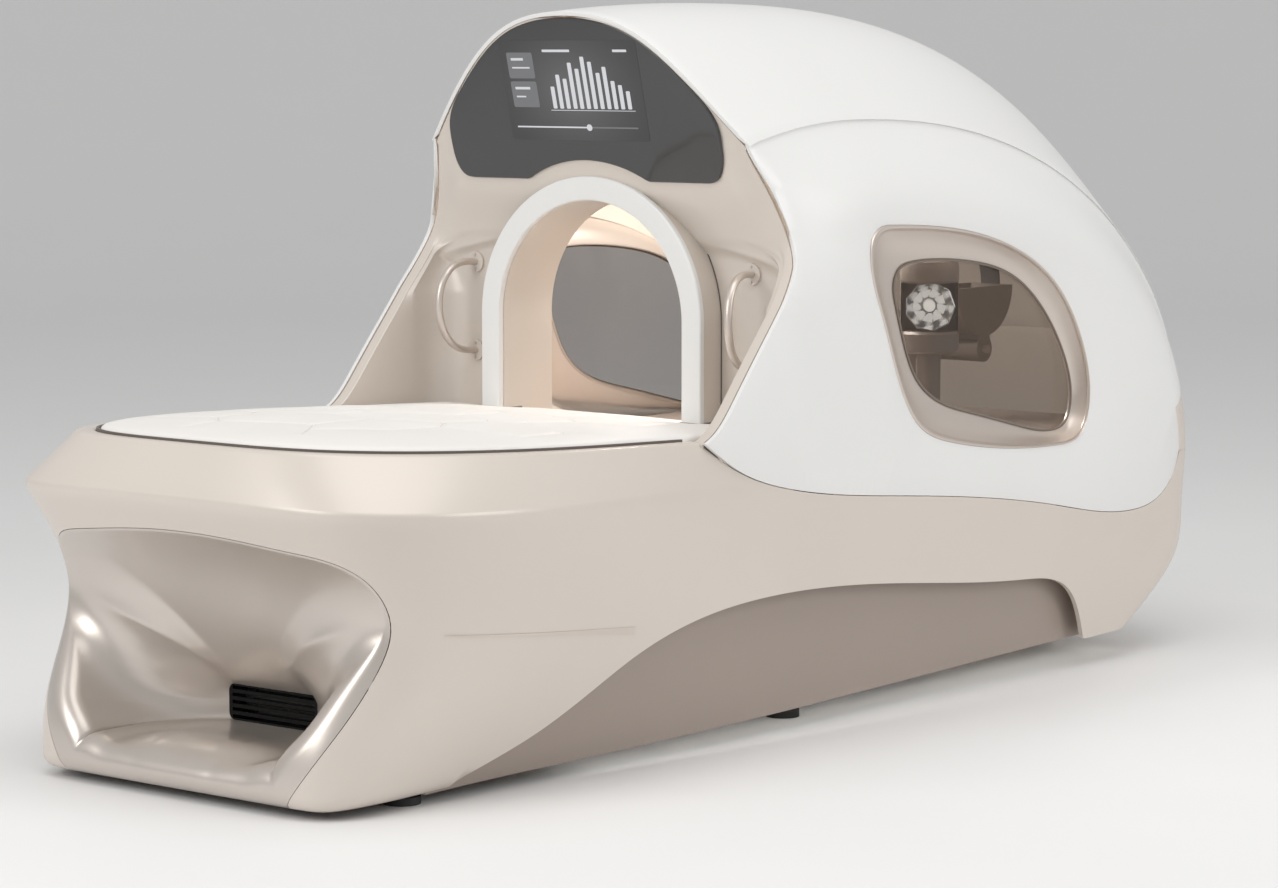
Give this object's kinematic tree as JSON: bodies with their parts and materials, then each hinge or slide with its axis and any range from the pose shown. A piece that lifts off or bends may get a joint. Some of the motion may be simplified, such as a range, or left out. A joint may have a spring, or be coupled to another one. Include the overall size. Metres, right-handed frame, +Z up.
{
  "type": "multi-therapy bed",
  "caption": "Lying therapy bed with a padded head end, an arch into a domed leg chamber with side windows, pedal cups, grab handles and a touch display.",
  "frame": {"origin": "middle of the bed's length and width, on the floor plane under the levelling pads", "axes": "+X from the head end to the hood end, +Y to the left of a user who lies with feet in the hood, +Z up"},
  "size_m": [2.763, 1.0829, 1.385],
  "materials": {
    "beige_shell": "satin beige lacquer with a fine pearl",
    "white_shell": "smooth satin white",
    "champagne_metal": "satin champagne metallic",
    "taupe_panel": "satin taupe",
    "mattress_leather": "white upholstery leather with stitched lines",
    "dark_trim": "matt dark brown",
    "display_glass": "dark glossy pane",
    "window_glass": "warm tinted clear pane",
    "chrome_reflector": "bright faceted",
    "cup_plastic": "dark brown moulded",
    "strap_fabric": "woven webbing",
    "chassis_paint": "black powder coat",
    "steel": "ground steel",
    "foot_rubber": "black rubber over steel",
    "deck_board": "plywood",
    "black_plastic": "fine texture",
    "light_strip": "frosted light diffuser"
  },
  "bodies": {
    "frame": {"arch_ring": "white_shell", "arch_tunnel": "beige_shell", "base_shell": "beige_shell", "bed_deck": "deck_board", "brake_magnet": "black_plastic", "bulkhead": "beige_shell", "chamber_floor": "taupe_panel", "chassis_crossmembers": "chassis_paint", "chassis_rails": "chassis_paint", "cheek_left": "beige_shell", "cheek_right": "beige_shell", "control_box": "black_plastic", "crank_bearings": "steel", "deck_posts": "chassis_paint", "display_glass": "display_glass", "drive_tower": "taupe_panel", "flange_screws": "steel", "handle_flanges": "champagne_metal", "handle_left": "champagne_metal", "handle_right": "champagne_metal", "hood_crown": "white_shell", "hood_side_left": "white_shell", "hood_side_right": "white_shell", "inlet_plate": "black_plastic", "lamp_brackets": "taupe_panel", "lamp_reflectors": "chrome_reflector", "light_strips": "light_strip", "lock_nuts": "steel", "mattress": "mattress_leather", "mattress_piping": "dark_trim", "rear_cover": "beige_shell", "scoop_panel": "champagne_metal", "side_trims": "champagne_metal", "skirt_left": "taupe_panel", "skirt_right": "taupe_panel", "vacuum_blower": "black_plastic", "vent_duct": "black_plastic", "vent_grille": "dark_trim", "window_frame_left": "champagne_metal", "window_frame_right": "champagne_metal", "window_pane_left": "window_glass", "window_pane_right": "window_glass"},
    "foot_front_left": {"levelling_foot_front_left": "foot_rubber"},
    "foot_front_right": {"levelling_foot_front_right": "foot_rubber"},
    "foot_mid_left": {"levelling_foot_mid_left": "foot_rubber"},
    "foot_mid_right": {"levelling_foot_mid_right": "foot_rubber"},
    "foot_rear_left": {"levelling_foot_rear_left": "foot_rubber"},
    "foot_rear_right": {"levelling_foot_rear_right": "foot_rubber"},
    "crank": {"crank_axle": "steel", "crank_arm_left": "taupe_panel", "crank_arm_right": "taupe_panel", "brake_drum": "steel"},
    "cup_left": {"foot_cup_left": "cup_plastic", "foot_strap_left": "strap_fabric"},
    "cup_right": {"foot_cup_right": "cup_plastic", "foot_strap_right": "strap_fabric"},
    "fan": {"fan_rotor": "black_plastic"},
    "rocker": {"power_switch": "black_plastic"}
  },
  "joints": [
    {"name": "foot_front_left_screw", "type": "hinge", "parent": "frame", "child": "foot_front_left", "pos_m": [-1.14, 0.33, 0], "axis": [0, 0, 1], "continuous": true},
    {"name": "foot_front_right_screw", "type": "hinge", "parent": "frame", "child": "foot_front_right", "pos_m": [-1.14, -0.33, 0], "axis": [0, 0, 1], "continuous": true},
    {"name": "foot_mid_left_screw", "type": "hinge", "parent": "frame", "child": "foot_mid_left", "pos_m": [-0.046, 0.33, 0], "axis": [0, 0, 1], "continuous": true},
    {"name": "foot_mid_right_screw", "type": "hinge", "parent": "frame", "child": "foot_mid_right", "pos_m": [-0.046, -0.33, 0], "axis": [0, 0, 1], "continuous": true},
    {"name": "foot_rear_left_screw", "type": "hinge", "parent": "frame", "child": "foot_rear_left", "pos_m": [1.02, 0.2, 0], "axis": [0, 0, 1], "continuous": true},
    {"name": "foot_rear_right_screw", "type": "hinge", "parent": "frame", "child": "foot_rear_right", "pos_m": [1.02, -0.2, 0], "axis": [0, 0, 1], "continuous": true},
    {"name": "crank_spin", "type": "hinge", "parent": "frame", "child": "crank", "pos_m": [0.69, 0, 0.66], "axis": [0, 1, 0], "continuous": true},
    {"name": "cup_left_pivot", "type": "hinge", "parent": "crank", "child": "cup_left", "pos_m": [0.57, 0, 0.66], "axis": [0, 1, 0], "continuous": true},
    {"name": "cup_right_pivot", "type": "hinge", "parent": "crank", "child": "cup_right", "pos_m": [0.81, 0, 0.66], "axis": [0, 1, 0], "continuous": true},
    {"name": "fan_spin", "type": "hinge", "parent": "frame", "child": "fan", "pos_m": [-1.053, 0, 0.127], "axis": [0, 1, 0], "continuous": true},
    {"name": "switch_rock", "type": "hinge", "parent": "frame", "child": "rocker", "pos_m": [1.371, 0.031, 0.358], "axis": [0, 1, 0], "range_deg": [-7, 7]}
  ],
  "couplings": [
    {"joint": "cup_left_pivot", "follows": "crank_spin", "ratio": -1},
    {"joint": "cup_right_pivot", "follows": "crank_spin", "ratio": -1}
  ]
}
